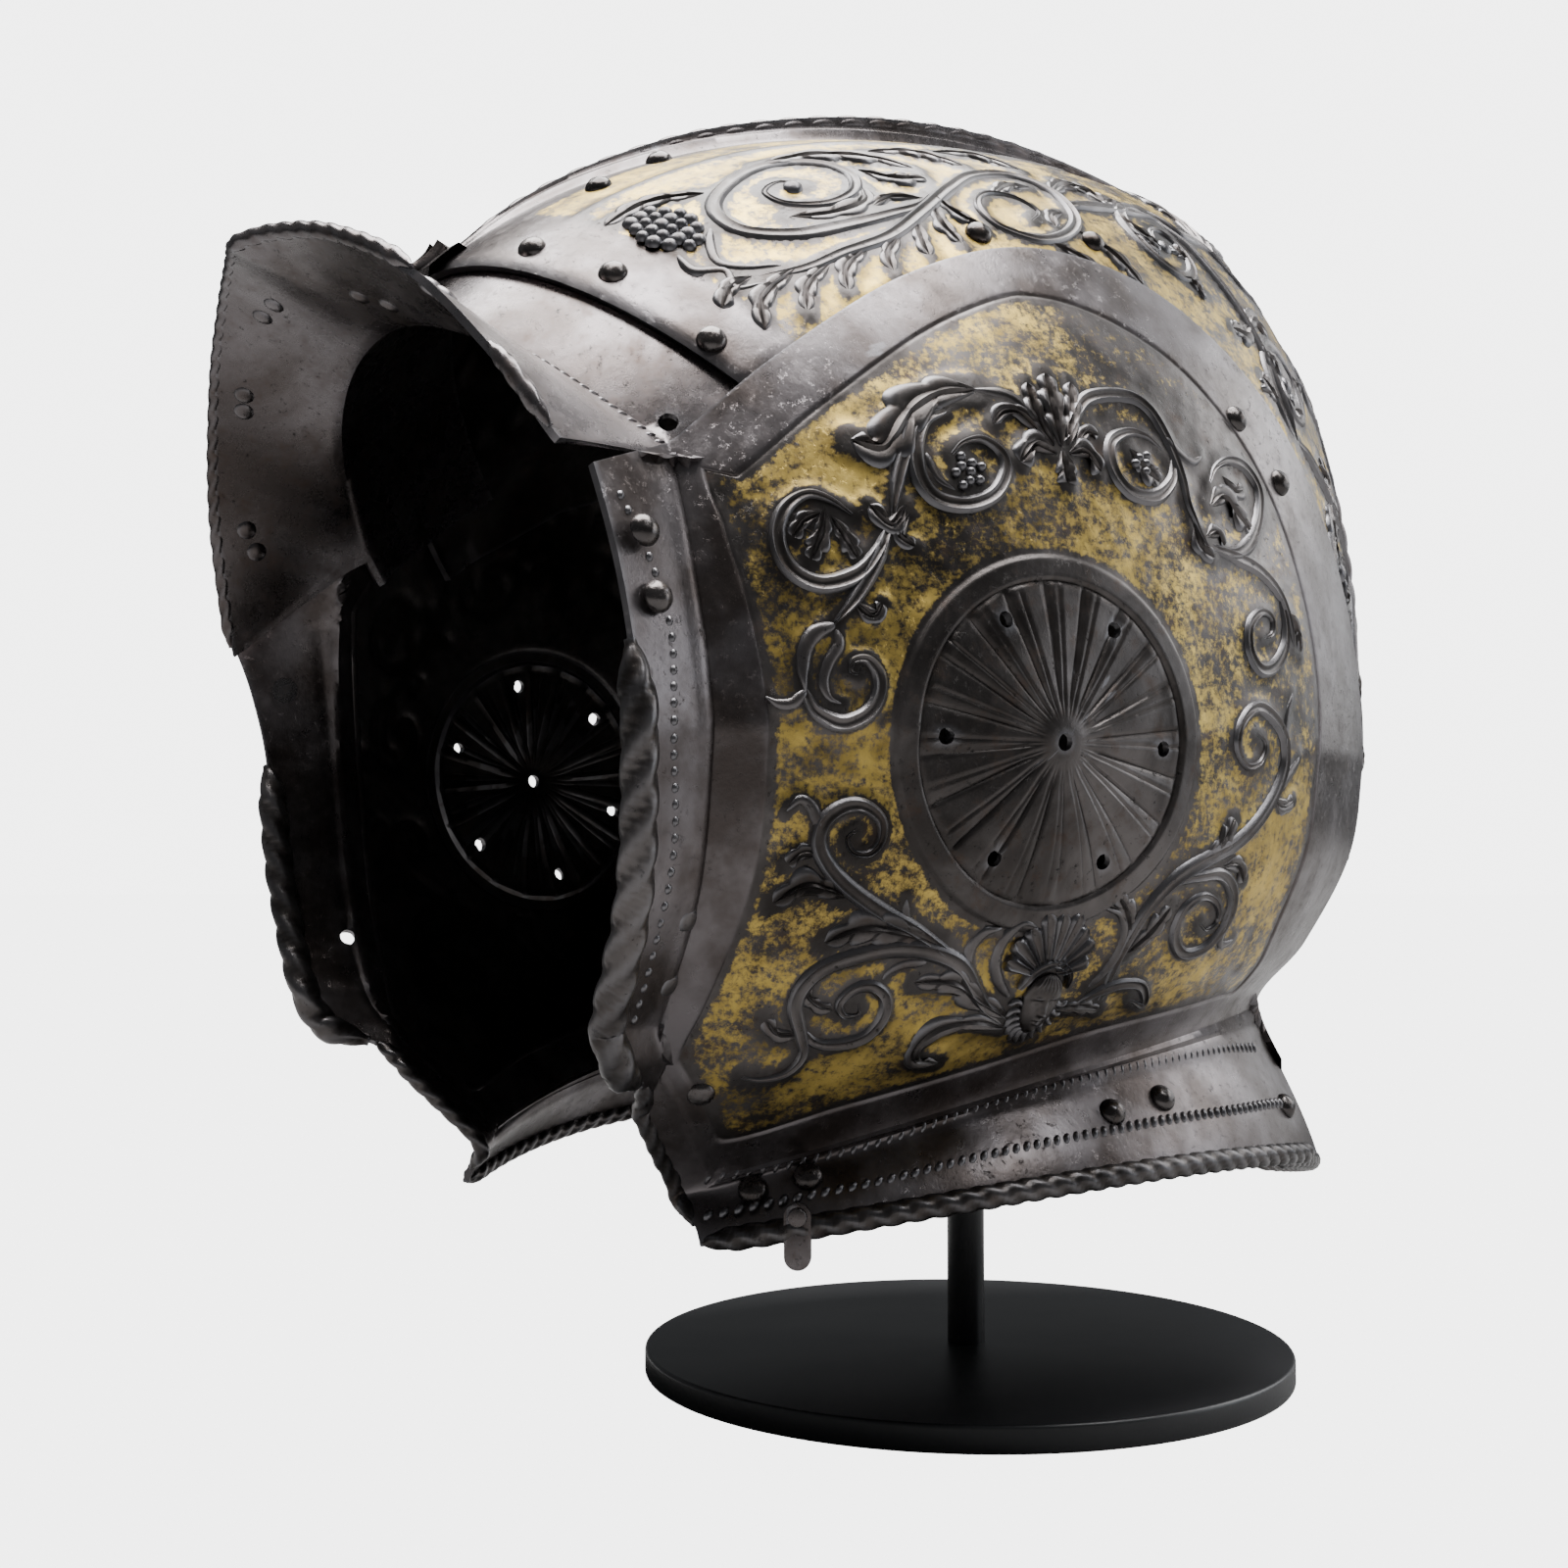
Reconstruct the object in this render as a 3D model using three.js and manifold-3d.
// A 16th-century embossed close burgonet (helmet) on a plain disc-and-post stand.
// Millimetres, +Z up. The wearer faces -Y and the wearer's left is +X. The origin is the
// centre of the stand's underside.
import * as THREE from "three";
import { mergeVertices } from "three/addons/utils/BufferGeometryUtils.js";
import Module from "manifold-3d";

const wasm = await Module();
wasm.setup();

// ---------------------------------------------------------------- driving dimensions
const PLATE = 1.6; // thickness of the helmet's plates
const GAP = 1.0; // clearance between two plates that overlap
const UNDER = -(PLATE + GAP); // outer face of a plate that lies under the skull's
const OVER = PLATE + GAP; // outer face of a plate that lies over the skull's

// The helmet's form: level cross-sections, each with a half width, a widest place and the
// reach to the front and back. Below the middle they are listed; above it they close in a dome.
const MIDDLE = { z: 150, half: 103.5, front: -192, back: 125, widest: -45 };
const CROWN = { z: 304, y: 15, sides: 2.1, sidesPower: 0.56, front: 2.18, back: 2.9 };
const LOWER_SECTIONS = [
  // z at the crest, how fast it falls away from the crest, crest y, half, front, back, widest
  [60, 0.00108, -10, 84, -133, 114, -25], // rim of the neck flange
  [90, 0.0009, 70, 72, -133, 89, -25], // waist
  [108, 0.0006, 70, 88, -160, 103, -32],
  [128, 0.0002, 70, 100, -184, 118, -40],
  [MIDDLE.z, 0, 70, MIDDLE.half, MIDDLE.front, MIDDLE.back, MIDDLE.widest],
];
const BACK_KEEL = 1.4; // below 2, the back of each section comes to a blunt keel
const RIM_LEVEL = 0;
const WAIST_LEVEL = 1;

// The skull: a band over the crown whose sides end under the cheekpieces.
const SKULL_CENTRE = { y: -20, z: 150 };
const SKULL_FRONT_ANGLE = 142; // degrees up from +Y, at the middle of the brow
const SKULL_FRONT_SWEEP = 7; // further round at the sides
const SKULL_BACK_ANGLE = -19;
const SKULL_BACK_SWEEP = -19;
const SKULL_UNDERLAP = 24; // how far it reaches under a cheekpiece

// The comb: outer edge from the brow to the nape, as y and z.
const COMB_EDGE = [
  [-150, 249], [-130, 269], [-105, 285], [-72, 299.5], [-26, 311], [23, 313],
  [77, 302], [116, 277], [139, 242], [150, 199], [146, 150], [128, 114],
];
const COMB_WIDTH = 4.4;

// The brow plate: angles of its hidden top edge and of the root of the peak.
const BROW_TOP_ANGLE = 135.5;
const PEAK_ROOT_ANGLE = 147;
const PEAK_ROOT_SWEEP = 9;
const BROW_UNDERLAP = 10;
// Half of the peak's free rim, from its point to its end above the cheekpiece.
const PEAK_RIM = [
  [0, -191, 250], [12, -187, 250], [30, -182, 246], [52, -176, 235], [71, -169, 217], [81, -161, 200],
];
const PEAK_END = 0.86; // where along the brow plate's half the peak ends
const PEAK_RIGHT_DROP = 25; // the right end of the peak is bent down
const BROW_HOLE = { y: -132.5, z: 209.5, radius: 2 };

// The cheekpieces, as y and z from the side. The rosette is the centre of each.
const ROSETTE = { y: -62.5, z: 148.5, holeRing: 26, holeRadius: 1.65, holes: 6 };
// The front flange's rim, and the fold inside it, from the top corner down to the neck.
const CHEEK_FRONT = [
  { rim: [-154.5, 195.5], fold: [-134.5, 199.5] },
  { rim: [-151.5, 174], fold: [-133, 176] },
  { rim: [-149.5, 148], fold: [-131, 148] },
  { rim: [-148, 118], fold: [-130.5, 118] },
  { rim: [-145.5, 91], fold: [-131, 95] },
  { rim: [-131.5, 83], fold: [-127.5, 88] },
];
// What differs between the two: how far the top corner is bent down and forward, the degrees
// that the front flange turns outward (top, curve handle, bottom), the rosette's place, and
// the two rivets of the front flange.
const LEFT = {
  drop: 0,
  forward: 0,
  turns: [8, 8, 27],
  rosetteY: -62.5,
  firstHole: -1,
  frontRivets: [[-147, 183], [-145, 171.5]],
};
const RIGHT = {
  drop: 15,
  forward: 4,
  turns: [34, -19, 16],
  rosetteY: -67,
  firstHole: -17,
  frontRivets: [[-146, 168], [-143, 157]],
};
const NECK_FRONT_Y = -111;
const NECK_BACK_Y = 52;
const NECK_STATIONS = 12;
const REAR_STATIONS = 4; // up the rear end of the neck flange
const CHEEK_BORDER = [
  [48, 92], [54, 115], [59, 140], [56, 170], [43, 200], [23, 227], [-3, 246],
  [-27, 254], [-52, 253], [-82, 241], [-112, 221], [-133, 203],
];
const BORDER_WIDTH = 9; // plain band along the border
const BORDER_STEPS = 20;
const CHEEK_RINGS = 6;

// The nape plate, and the stand.
const NAPE_FRONT_Y = 38;
const NAPE_TOP_LEVEL = 2.3;
const BASE = { radius: 80, thick: 6.35, chamfer: 0.8 };
const POST = { radius: 4.6, socket: 4, top: 298, padRadius: 16, padThick: 4 };

// Rivets: a domed head, on a shank in a drilled hole. Each place is on the left side and is
// repeated on the right.
const RIVET = { radius: 3, height: 2, shank: 1.3, sides: 8, clear: 0.3 };
const BROW_RIVETS = [[140, 11], [140.6, 19], [143.2, 28.8]]; // turn and tilt on the crown
const COMB_RIVETS = [[129, 7], [121, 5]];
const HINGE_RIVETS = [[107, 31.2], [89.7, 31]];
const NAPE_RIVETS = [[62, 98], [59, 67]]; // y and z from the side
const CHEEK_RIVETS = [
  [3, 222], [16.5, 209.5], [-118.2, 81.5], [-100.3, 57.5], [-91.1, 60], [-25.8, 70.6],
  [-10.3, 72.6], [40, 67],
];
const LOST_RIVET = { y: -134, z: 108, radius: 2 }; // an open hole, on the right only

// A plain leaf inside the skull carries each cheekpiece's hinge.
const LEAF = { turn: [83, 113], tilt: [27.5, 34.5], gap: 0.5 };

// The small hook that hangs on the left neck flange's rim.
const HOOK = { y: -95, z: 55, width: 5.4, length: 10.5, thick: 1.5, gap: 1.6, pin: 1.1, head: 1.9 };

// ---------------------------------------------------------------- the form
const mix = (a, b, t) => a + (b - a) * t;
const radians = THREE.MathUtils.degToRad;

// A section at a level between the listed ones, by a smooth curve through them.
function sectionAt(level) {
  const last = LOWER_SECTIONS.length - 1;
  const i = Math.min(Math.floor(level), last - 1);
  const t = level - i;
  const at = (k) => LOWER_SECTIONS[Math.min(Math.max(k, 0), last)];
  return at(i).map((b, k) => {
    const c = at(i + 1)[k];
    const before = i > 0 ? (c - at(i - 1)[k]) / 2 : c - b;
    const after = i + 2 <= last ? (at(i + 2)[k] - b) / 2 : c - b;
    return (
      (2 * t ** 3 - 3 * t ** 2 + 1) * b +
      (t ** 3 - 2 * t ** 2 + t) * before +
      (3 * t ** 2 - 2 * t ** 3) * c +
      (t ** 3 - t ** 2) * after
    );
  });
}

function heightOf(section, y) {
  return section[0] - section[1] * (y - section[2]) ** 2;
}

function levelAt(y, z) {
  let low = 0;
  let high = LOWER_SECTIONS.length - 1;
  for (let i = 0; i < 26; i++) {
    const mid = (low + high) / 2;
    if (heightOf(sectionAt(mid), y) < z) low = mid;
    else high = mid;
  }
  return (low + high) / 2;
}

// Half width, widest place, front and back of the section through y and z.
function sectionThrough(y, z) {
  if (z < MIDDLE.z) {
    const [, , , half, front, back, widest] = sectionAt(levelAt(y, z));
    return { half, front, back, widest };
  }
  const rise = Math.min((z - MIDDLE.z) / (CROWN.z - MIDDLE.z), 1);
  const shrink = (power) => (1 - rise ** power) ** (1 / power);
  return {
    half: MIDDLE.half * (1 - rise ** CROWN.sides) ** CROWN.sidesPower,
    front: mix(CROWN.y, MIDDLE.front, shrink(CROWN.front)),
    back: mix(CROWN.y, MIDDLE.back, shrink(CROWN.back)),
    widest: mix(MIDDLE.widest, CROWN.y, rise ** 3),
  };
}

// 1 on the form, less inside it.
function formValue(p) {
  if (p.z >= CROWN.z) return 2;
  const { half, front, back, widest } = sectionThrough(p.y, p.z);
  const ahead = p.y < widest;
  const reach = ahead ? widest - front : back - widest;
  return (Math.abs(p.x) / half) ** (ahead ? 2 : BACK_KEEL) + ((p.y - widest) / reach) ** 2;
}

// Half width of the form at y and z.
function sideX(y, z) {
  const { half, front, back, widest } = sectionThrough(y, z);
  const ahead = y < widest;
  const reach = ahead ? widest - front : back - widest;
  const rest = Math.max(1 - ((y - widest) / reach) ** 2, 0);
  return half * rest ** (1 / (ahead ? 2 : BACK_KEEL));
}

// The point of the form that a ray from the skull's centre meets: turn is degrees up from
// +Y in the middle plane, tilt is degrees out of it.
function crownPoint(turn, tilt) {
  const a = radians(turn);
  const b = radians(tilt);
  const ray = new THREE.Vector3(Math.sin(b), Math.cos(b) * Math.cos(a), Math.cos(b) * Math.sin(a));
  const centre = new THREE.Vector3(0, SKULL_CENTRE.y, SKULL_CENTRE.z);
  let low = 20;
  let high = 260;
  for (let i = 0; i < 40; i++) {
    const mid = (low + high) / 2;
    if (formValue(ray.clone().multiplyScalar(mid).add(centre)) < 1) low = mid;
    else high = mid;
  }
  return ray.multiplyScalar(low).add(centre);
}

// The tilt at which a cross-section of the crown reaches a distance from the centre line.
function tiltAt(turn, distance) {
  let low = 5;
  let high = 88;
  for (let i = 0; i < 30; i++) {
    const mid = (low + high) / 2;
    const p = crownPoint(turn, mid);
    if (Math.hypot(p.y - SKULL_CENTRE.y, p.z - SKULL_CENTRE.z) > distance) low = mid;
    else high = mid;
  }
  return (low + high) / 2;
}

// ---------------------------------------------------------------- solids
function solidOf(geometry) {
  const bare = geometry.index ? geometry.toNonIndexed() : geometry.clone();
  const positions = new THREE.BufferGeometry().setAttribute("position", bare.getAttribute("position"));
  const merged = mergeVertices(positions, 1e-4);
  return new wasm.Manifold(
    new wasm.Mesh({
      numProp: 3,
      vertProperties: merged.attributes.position.array,
      triVerts: new Uint32Array(merged.index.array),
    }),
  );
}

function geometryOf(solid) {
  const mesh = solid.getMesh();
  const geometry = new THREE.BufferGeometry();
  geometry.setAttribute("position", new THREE.BufferAttribute(new Float32Array(mesh.vertProperties), 3));
  geometry.setIndex(new THREE.BufferAttribute(new Uint32Array(mesh.triVerts), 1));
  geometry.computeVertexNormals();
  return geometry;
}

// A wall of PLATE thickness behind a grid of points: rows[i][j], right-handed facing out.
// A closed grid's rows join end to end, and a fan's first row is a single point.
function wall(rows, { closed = false, fan = false, outer = 0 } = {}) {
  const rowCount = rows.length;
  const count = rows[0].length;
  const at = (i, j) =>
    rows[Math.min(Math.max(i, 0), rowCount - 1)][
      closed ? (j + count) % count : Math.min(Math.max(j, 0), count - 1)
    ];
  const faces = (depth) =>
    rows.map((row, i) =>
      row.map((p, j) => {
        const across = at(i, j + 1).clone().sub(at(i, j - 1));
        const along = at(i + 1, j).clone().sub(at(i - 1, j));
        const normal = along.cross(across).normalize();
        if (fan && i === 0) normal.copy(fanNormal(rows));
        return p.clone().addScaledVector(normal, depth);
      }),
    );
  const skins = [faces(outer), faces(outer - PLATE)];
  const triangles = [];
  const quad = (a, b, c, d) => triangles.push(a, b, c, a, c, d);
  const steps = closed ? count : count - 1;
  const next = (j) => (j + 1) % count;
  for (let i = 0; i < rowCount - 1; i++)
    for (let j = 0; j < steps; j++) {
      const [o, n] = skins;
      if (fan && i === 0) {
        triangles.push(o[0][0], o[1][j], o[1][next(j)]);
        triangles.push(n[0][0], n[1][next(j)], n[1][j]);
        continue;
      }
      quad(o[i][j], o[i + 1][j], o[i + 1][next(j)], o[i][next(j)]);
      quad(n[i][j], n[i][next(j)], n[i + 1][next(j)], n[i + 1][j]);
    }
  const [o, n] = skins;
  const end = rowCount - 1;
  for (let j = 0; j < steps; j++) {
    quad(o[end][j], n[end][j], n[end][next(j)], o[end][next(j)]);
    if (!fan) quad(o[0][next(j)], n[0][next(j)], n[0][j], o[0][j]);
  }
  if (!closed)
    for (let i = 0; i < end; i++) {
      quad(o[i][0], n[i][0], n[i + 1][0], o[i + 1][0]);
      quad(o[i + 1][count - 1], n[i + 1][count - 1], n[i][count - 1], o[i][count - 1]);
    }
  const geometry = new THREE.BufferGeometry().setFromPoints(triangles);
  const solid = solidOf(geometry);
  if (solid.volume() < 0) throw new Error("a plate faces inwards");
  return solid;
}

function fanNormal(rows) {
  const ring = rows[1];
  const sum = new THREE.Vector3();
  ring.forEach((p, j) => {
    const a = p.clone().sub(rows[0][0]);
    const b = ring[(j + 1) % ring.length].clone().sub(rows[0][0]);
    sum.add(a.cross(b));
  });
  return sum.normalize();
}

const mirrored = (solid) => solid.mirror([1, 0, 0]);

// ---------------------------------------------------------------- cheekpieces
// Closed outlines, seen from the side: the rim, and the fold, waist or band inside it.
function cheekOutlines(side) {
  const rim = [];
  const fold = [];
  const front = frontStations(side);
  front.forEach((station, i) => {
    if (i > 0) {
      rim.push(halfway(front[i - 1].rim, station.rim));
      fold.push(halfway(front[i - 1].fold, station.fold));
    }
    rim.push(station.rim);
    fold.push(station.fold);
  });
  const waist = sectionAt(WAIST_LEVEL);
  const lip = sectionAt(RIM_LEVEL);
  rim.push([NECK_FRONT_Y, heightOf(waist, NECK_FRONT_Y) - 1]);
  fold.push([NECK_FRONT_Y + 4, heightOf(waist, NECK_FRONT_Y) + 3]);
  for (let i = 0; i < NECK_STATIONS; i++) {
    const y = mix(NECK_FRONT_Y, NECK_BACK_Y, i / (NECK_STATIONS - 1));
    const inner = mix(NECK_FRONT_Y + 6, NECK_BACK_Y - 7, i / (NECK_STATIONS - 1));
    rim.push([y, heightOf(lip, y)]);
    fold.push([inner, heightOf(waist, inner) + 1]);
  }
  const [lastRim, lastFold] = [rim.at(-1), fold.at(-1)];
  for (let i = 1; i < REAR_STATIONS; i++) {
    const t = i / REAR_STATIONS;
    rim.push([mix(lastRim[0], CHEEK_BORDER[0][0], t), mix(lastRim[1], CHEEK_BORDER[0][1], t)]);
    fold.push([lastFold[0] - 3 * t, lastFold[1] + 3 * t]);
  }
  const border = new THREE.SplineCurve(CHEEK_BORDER.map(([y, z]) => new THREE.Vector2(y, z)));
  for (const { x: y, y: z } of border.getPoints(BORDER_STEPS)) {
    const reach = Math.hypot(y - ROSETTE.y, z - ROSETTE.z);
    const keep = 1 - BORDER_WIDTH / reach;
    rim.push([y, z]);
    fold.push([mix(ROSETTE.y, y, keep), mix(ROSETTE.z, z, keep)]);
  }
  return { rim, fold };
}

const halfway = (a, b) => [mix(a[0], b[0], 0.5), mix(a[1], b[1], 0.5)];

// The front stations of one side, whose top corner is bent down by its drop.
function frontStations(side) {
  return CHEEK_FRONT.map(({ rim, fold }, i) => {
    const bent = Math.max(1 - i / 2, 0);
    const drop = side.drop * bent;
    return { rim: [rim[0] - side.forward * bent, rim[1] - drop], fold: [fold[0], fold[1] - drop] };
  });
}

// Side distance of a cheekpiece: the form, and in front of the fold a flange turned outward.
function cheekX(y, z, side) {
  const front = CHEEK_FRONT;
  const i = front.findIndex((station, k) => k > 0 && z >= station.fold[1]);
  const k = i < 0 ? front.length - 1 : i;
  const [ya, za] = front[k - 1].fold;
  const [yb, zb] = front[k].fold;
  const foldY = mix(ya, yb, THREE.MathUtils.clamp((z - za) / (zb - za), 0, 1));
  if (y >= foldY) return sideX(y, z);
  const down = THREE.MathUtils.clamp((front[0].fold[1] - z) / (front[0].fold[1] - zb), 0, 1);
  const [top, handle, bottom] = side.turns;
  const turn = radians(top * (1 - down) ** 2 + 2 * handle * down * (1 - down) + bottom * down ** 2);
  return sideX(foldY, z) + (foldY - y) * Math.tan(turn);
}

function cheekPlate(side) {
  const { rim, fold } = cheekOutlines(side);
  const point = (y, z) => new THREE.Vector3(cheekX(y, z, side), y, z);
  const rows = [rim.map(() => point(ROSETTE.y, ROSETTE.z))];
  for (let i = 1; i <= CHEEK_RINGS; i++) {
    const t = i / CHEEK_RINGS;
    rows.push(fold.map(([y, z]) => point(mix(ROSETTE.y, y, t), mix(ROSETTE.z, z, t))));
  }
  for (const t of [0.33, 0.67, 1])
    rows.push(rim.map(([y, z], j) => point(mix(fold[j][0], y, t), mix(fold[j][1], z, t))));
  return wall(rows, { closed: true, fan: true, outer: OVER });
}

// The rosette's ring of holes and the one in its middle.
function rosetteHoles(side) {
  const places = [[0, 0]];
  for (let i = 0; i < ROSETTE.holes; i++) {
    const angle = radians((i * 360) / ROSETTE.holes + side.firstHole);
    places.push([ROSETTE.holeRing * Math.cos(angle), ROSETTE.holeRing * Math.sin(angle)]);
  }
  return places.map(([dy, dz]) => surfaceAt(side.rosetteY + dy, ROSETTE.z + dz, side));
}

// A point of the form's left side, or of its cheekpiece's flange, with its outward normal.
function surfaceAt(y, z, side = LEFT) {
  const step = 0.5;
  const at = (a, b) => new THREE.Vector3(cheekX(a, b, side), a, b);
  const along = at(y + step, z).sub(at(y - step, z));
  const up = at(y, z + step).sub(at(y, z - step));
  return { point: at(y, z), normal: along.cross(up).normalize() };
}

// ---------------------------------------------------------------- skull, comb and brow
const borderReach = (turn) => {
  const ray = [Math.cos(radians(turn)), Math.sin(radians(turn))];
  const points = CHEEK_BORDER.concat([CHEEK_FRONT[0].fold]);
  let best = 0;
  points.slice(1).forEach(([yb, zb], i) => {
    const [ya, za] = points[i];
    const across = (y, z) => (y - SKULL_CENTRE.y) * ray[1] - (z - SKULL_CENTRE.z) * ray[0];
    const a = across(ya, za);
    const b = across(yb, zb);
    if (a * b > 0 || a === b) return;
    const t = a / (a - b);
    const along = (mix(ya, yb, t) - SKULL_CENTRE.y) * ray[0] + (mix(za, zb, t) - SKULL_CENTRE.z) * ray[1];
    best = Math.max(best, along);
  });
  return best || Math.hypot(CHEEK_BORDER[0][0] - SKULL_CENTRE.y, CHEEK_BORDER[0][1] - SKULL_CENTRE.z);
};

function bandRows(turnAt, alongSteps, acrossSteps, underlap) {
  const rows = [];
  for (let i = 0; i <= alongSteps; i++) {
    const row = [];
    for (let j = 0; j <= acrossSteps; j++) {
      const side = (2 * j) / acrossSteps - 1;
      const turn = turnAt(i / alongSteps, Math.abs(side));
      const edge = tiltAt(turn, borderReach(turn) - underlap);
      row.push(crownPoint(turn, side * edge));
    }
    rows.push(row);
  }
  return rows;
}

function combFin() {
  const curve = new THREE.SplineCurve(COMB_EDGE.map(([y, z]) => new THREE.Vector2(y, z)));
  const outer = curve.getPoints(30);
  const inner = outer
    .map((p) => {
      const turn = THREE.MathUtils.radToDeg(Math.atan2(p.y - SKULL_CENTRE.z, p.x - SKULL_CENTRE.y));
      const q = crownPoint(turn, 0);
      const keep = 1 - PLATE / Math.hypot(q.y - SKULL_CENTRE.y, q.z - SKULL_CENTRE.z);
      return new THREE.Vector2(mix(SKULL_CENTRE.y, q.y, keep), mix(SKULL_CENTRE.z, q.z, keep));
    })
    .reverse();
  const shape = new THREE.Shape(outer.concat(inner));
  const fin = new THREE.ExtrudeGeometry(shape, { depth: COMB_WIDTH, bevelEnabled: false });
  fin.translate(0, 0, -COMB_WIDTH / 2);
  // The outline's x and y are the helmet's y and z.
  fin.applyMatrix4(new THREE.Matrix4().set(0, 0, 1, 0, 1, 0, 0, 0, 0, 1, 0, 0, 0, 0, 0, 1));
  return solidOf(fin);
}

function skullPlate() {
  const turnAt = (t, side) =>
    mix(SKULL_BACK_ANGLE + SKULL_BACK_SWEEP * side ** 2, SKULL_FRONT_ANGLE + SKULL_FRONT_SWEEP * side ** 2, t);
  return wall(bandRows(turnAt, 20, 22, SKULL_UNDERLAP)).add(combFin());
}

function browPlate() {
  const steps = 20;
  const rootAt = (side) => PEAK_ROOT_ANGLE + PEAK_ROOT_SWEEP * side ** 1.5;
  const brow = bandRows((t, side) => mix(BROW_TOP_ANGLE, rootAt(side), t), 3, steps, BROW_UNDERLAP);
  const half = new THREE.CatmullRomCurve3(PEAK_RIM.map(([x, y, z]) => new THREE.Vector3(x, y, z)));
  const root = brow.at(-1);
  const rim = root.map((p, j) => {
    const side = (2 * j) / steps - 1;
    const t = Math.abs(side) / PEAK_END;
    if (t > 1) return p.clone().add(new THREE.Vector3(0, -1.5, -0.8));
    const q = half.getPoint(t);
    const drop = side < 0 ? PEAK_RIGHT_DROP * t ** 4 : 0;
    return new THREE.Vector3(q.x * Math.sign(side), q.y, q.z - drop);
  });
  const peak = [0.5, 1].map((t) => root.map((p, j) => p.clone().lerp(rim[j], t)));
  return wall(brow.concat(peak), { outer: UNDER });
}

function napePlate() {
  const rows = [];
  const levels = 8;
  const steps = 14;
  for (let i = 0; i <= levels; i++) {
    const section = sectionAt(mix(RIM_LEVEL, NAPE_TOP_LEVEL, i / levels));
    const [, , , half, , back, widest] = section;
    const start = Math.acos((NAPE_FRONT_Y - widest) / (back - widest));
    const row = [];
    for (let j = 0; j <= steps; j++) {
      const angle = ((2 * j) / steps - 1) * start;
      const y = widest + (back - widest) * Math.cos(angle);
      const x = half * Math.abs(Math.sin(angle)) ** (2 / BACK_KEEL) * Math.sign(angle);
      row.push(new THREE.Vector3(x, y, heightOf(section, y)));
    }
    rows.push(row);
  }
  return wall(rows, { outer: UNDER });
}

// ---------------------------------------------------------------- fastenings
const UP = new THREE.Vector3(0, 1, 0);

function standOn(geometry, { point, normal }) {
  geometry.applyQuaternion(new THREE.Quaternion().setFromUnitVectors(UP, normal));
  return solidOf(geometry.translate(point.x, point.y, point.z));
}

function drill(spot, radius, depth) {
  return standOn(new THREE.CylinderGeometry(radius, radius, depth * 2, 6), spot);
}

// How far a plate stands off the form, at most, under a rivet's head.
function faceUnder(plate, spot) {
  const upright = new THREE.Quaternion().setFromUnitVectors(spot.normal, UP);
  const move = new THREE.Matrix4().makeTranslation(...spot.point.clone().negate());
  move.premultiply(new THREE.Matrix4().makeRotationFromQuaternion(upright));
  return plate.intersect(drill(spot, RIVET.radius, 8)).transform(move.elements).boundingBox().max[1];
}

// A domed head on a shank whose end is at a depth from the form.
function rivetSolid(plate, spot, end) {
  const { radius, height, shank, clear } = RIVET;
  const seat = faceUnder(plate, spot) + clear;
  const profile = [
    [0, end], [shank, end], [shank, seat], [radius, seat],
    [radius * 0.82, seat + height * 0.62], [0, seat + height],
  ];
  const lathe = new THREE.LatheGeometry(profile.map(([x, y]) => new THREE.Vector2(x, y)), RIVET.sides);
  return standOn(lathe, spot);
}

function crownSpot([turn, tilt]) {
  const step = 0.5;
  const along = crownPoint(turn + step, tilt).sub(crownPoint(turn - step, tilt));
  const across = crownPoint(turn, tilt + step).sub(crownPoint(turn, tilt - step));
  return { point: crownPoint(turn, tilt), normal: along.cross(across).normalize() };
}

function hingeLeaf() {
  const steps = 6;
  const rows = [];
  for (let i = 0; i <= steps; i++) {
    const turn = mix(...LEAF.turn, i / steps);
    rows.push([0, 0.5, 1].map((t) => crownPoint(turn, mix(...LEAF.tilt, t))));
  }
  return wall(rows, { outer: -(PLATE + LEAF.gap) });
}

// The hook hangs in the plane that touches the flange at its pin.
function hookPlace(depth) {
  const { point, normal } = surfaceAt(HOOK.y, HOOK.z);
  const out = new THREE.Vector3(normal.x, normal.y, 0).normalize();
  const across = new THREE.Vector3(0, 0, 1).cross(out);
  const basis = new THREE.Matrix4().makeBasis(across, new THREE.Vector3(0, 0, -1), out.clone().negate());
  return basis.setPosition(point.addScaledVector(out, OVER + depth));
}

function neckHook() {
  const { width, length, thick, gap, pin } = HOOK;
  const half = width / 2;
  const outline = new THREE.Shape();
  outline.absarc(0, 0, half, Math.PI, 2 * Math.PI);
  outline.absarc(0, length - half, half, 0, Math.PI);
  outline.closePath();
  outline.holes.push(new THREE.Path().absarc(0, 0, pin + 0.3, 0, 2 * Math.PI, true));
  const plate = new THREE.ExtrudeGeometry(outline, { depth: thick, bevelEnabled: false, curveSegments: 8 });
  return solidOf(plate.applyMatrix4(hookPlace(gap + thick)));
}

function hookPinHole() {
  const { gap, thick, pin } = HOOK;
  const hole = new THREE.CylinderGeometry(pin + 0.3, pin + 0.3, 2 * (gap + thick) + 12, RIVET.sides);
  return solidOf(hole.rotateX(Math.PI / 2).applyMatrix4(hookPlace(gap + thick)));
}

function hookPin() {
  const { thick, gap, pin, head } = HOOK;
  const profile = [[0, 0], [head, 0], [head, 0.8], [pin, 0.8], [pin, PLATE + gap + thick + 1.1], [0, PLATE + gap + thick + 1.1]];
  const lathe = new THREE.LatheGeometry(profile.map(([x, y]) => new THREE.Vector2(x, y)), 12);
  lathe.rotateX(Math.PI / 2);
  return solidOf(lathe.applyMatrix4(hookPlace(gap + thick + 1.1)));
}

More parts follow.
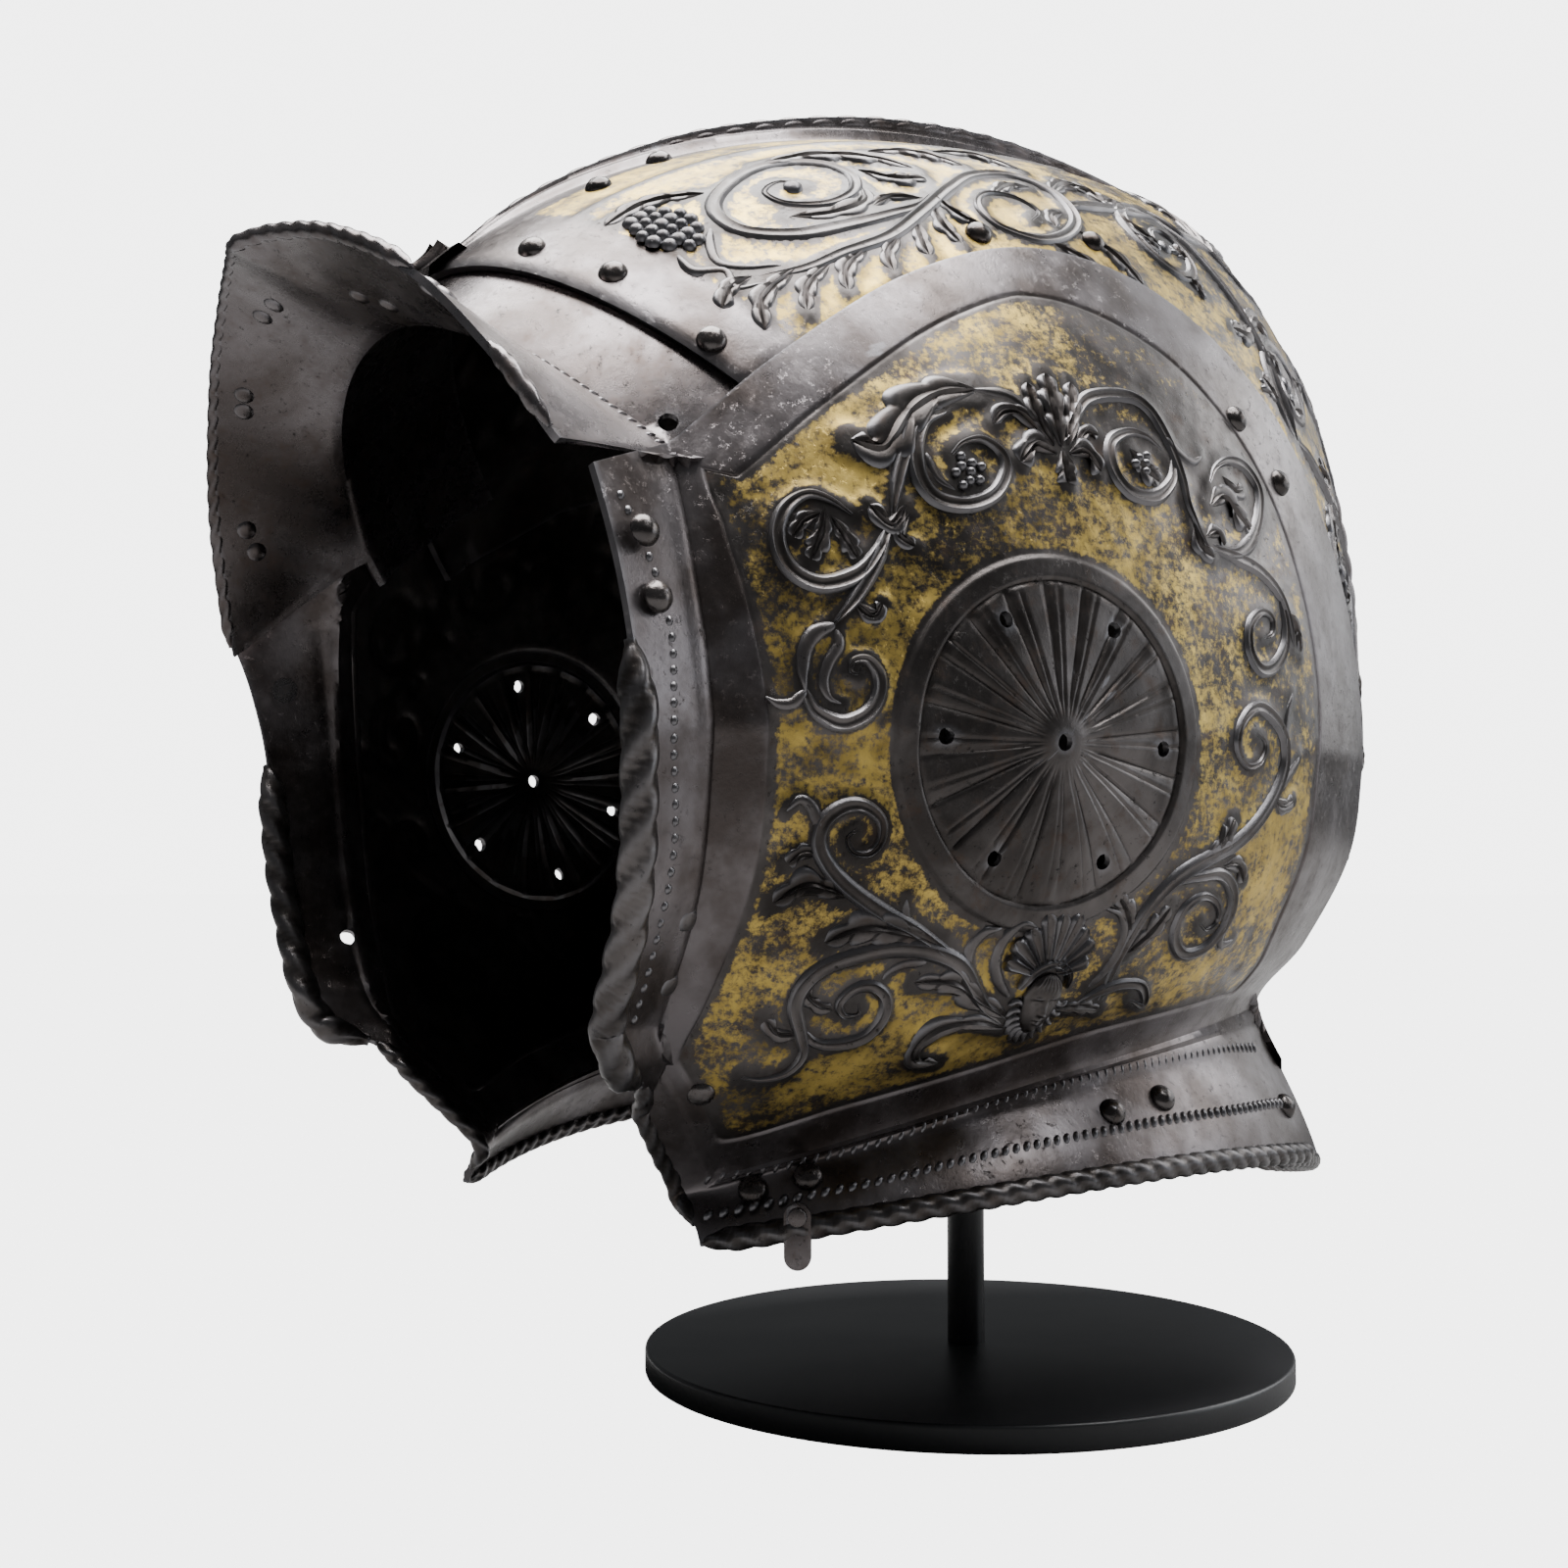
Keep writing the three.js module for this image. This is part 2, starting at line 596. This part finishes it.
// ---------------------------------------------------------------- stand
function standBase() {
  const { radius, thick, chamfer } = BASE;
  const outline = [
    [0, 0], [radius - chamfer, 0], [radius, chamfer], [radius, thick - chamfer], [radius - chamfer, thick],
    [POST.radius + 0.3, thick], [POST.radius + 0.3, thick - POST.socket], [0, thick - POST.socket],
  ];
  const disc = new THREE.LatheGeometry(outline.map(([x, y]) => new THREE.Vector2(x, y)), 48);
  return solidOf(disc.rotateX(Math.PI / 2));
}

function standPost() {
  const { radius, socket, top, padRadius, padThick } = POST;
  const foot = BASE.thick - socket + 0.3;
  const outline = [
    [0, foot], [radius, foot], [radius, top - padThick * 2], [padRadius, top - padThick],
    [padRadius, top], [0, top],
  ];
  const post = new THREE.LatheGeometry(outline.map(([x, y]) => new THREE.Vector2(x, y)), 16);
  return solidOf(post.rotateX(Math.PI / 2));
}

// ---------------------------------------------------------------- assembly
const steel = new THREE.MeshStandardMaterial({ color: 0x4a423d, roughness: 0.42, metalness: 0.9 });
const brightSteel = new THREE.MeshStandardMaterial({ color: 0x77706a, roughness: 0.35, metalness: 0.95 });
const gilded = new THREE.MeshStandardMaterial({ color: 0x8a6f35, roughness: 0.5, metalness: 0.85 });
const blackPaint = new THREE.MeshStandardMaterial({ color: 0x101010, roughness: 0.55, metalness: 0.1 });

const helmet = new THREE.Group();

function place(name, solid, material) {
  const mesh = new THREE.Mesh(geometryOf(solid), material);
  mesh.name = name;
  helmet.add(mesh);
}

const drilled = (plate, spots, radius) =>
  spots.reduce((solid, spot) => solid.subtract(drill(spot, radius, 8)), plate);

const RIVET_HOLE = RIVET.shank + 0.3;
const onSide = (side) => ([y, z]) => surfaceAt(y, z, side);
const mirrorSpot = ({ point, normal }) => ({
  point: point.clone().setX(-point.x),
  normal: normal.clone().setX(-normal.x),
});
const bothSides = (spots) => spots.concat(spots.map(mirrorSpot));

// The skull and what is riveted to it.
const browSpots = bothSides(BROW_RIVETS.map(crownSpot));
const combSpots = bothSides(COMB_RIVETS.map(crownSpot));
const hingeSpots = bothSides(HINGE_RIVETS.map(crownSpot));
const napeSpots = bothSides(NAPE_RIVETS.map(onSide(LEFT)));
const skull = drilled(skullPlate(), [...browSpots, ...combSpots, ...hingeSpots, ...napeSpots], RIVET_HOLE);
place("skull", skull, gilded);
const browHole = onSide(LEFT)([BROW_HOLE.y, BROW_HOLE.z]);
const brow = drilled(browPlate(), browSpots, RIVET_HOLE);
place("brow_plate", drilled(brow, [browHole], BROW_HOLE.radius), brightSteel);
const nape = drilled(napePlate(), napeSpots, RIVET_HOLE);
place("nape_plate", nape, steel);
const leaf = drilled(hingeLeaf(), hingeSpots.slice(0, HINGE_RIVETS.length), RIVET_HOLE);
place("hinge_leaf_left", leaf, steel);
place("hinge_leaf_right", mirrored(leaf), steel);

const skullAndNape = skull.add(nape);
for (const [name, spots, end] of [
  ["brow", browSpots, UNDER - PLATE],
  ["comb", combSpots, -PLATE],
  ["hinge", hingeSpots, -2 * PLATE - LEAF.gap],
  ["nape", napeSpots, UNDER - PLATE],
])
  spots.forEach((spot, i) => place(`${name}_rivet_${i + 1}`, rivetSolid(skullAndNape, spot, end), steel));

// The cheekpieces, with their rivets.
for (const [name, side, face] of [["left", LEFT, (solid) => solid], ["right", RIGHT, mirrored]]) {
  const spots = [...side.frontRivets, ...CHEEK_RIVETS].map(onSide(side));
  let plate = drilled(cheekPlate(side), rosetteHoles(side), ROSETTE.holeRadius);
  plate = drilled(plate, spots, RIVET_HOLE);
  if (side === LEFT) plate = plate.subtract(hookPinHole());
  else plate = drilled(plate, [onSide(side)([LOST_RIVET.y, LOST_RIVET.z])], LOST_RIVET.radius);
  place(`cheek_${name}`, face(plate), gilded);
  spots.forEach((spot, i) =>
    place(`cheek_${name}_rivet_${i + 1}`, face(rivetSolid(plate, spot, OVER - PLATE)), steel),
  );
}
place("neck_hook", neckHook(), brightSteel);
place("neck_hook_pin", hookPin(), brightSteel);

place("stand_base", standBase(), blackPaint);
place("stand_post", standPost(), blackPaint);

export default helmet;
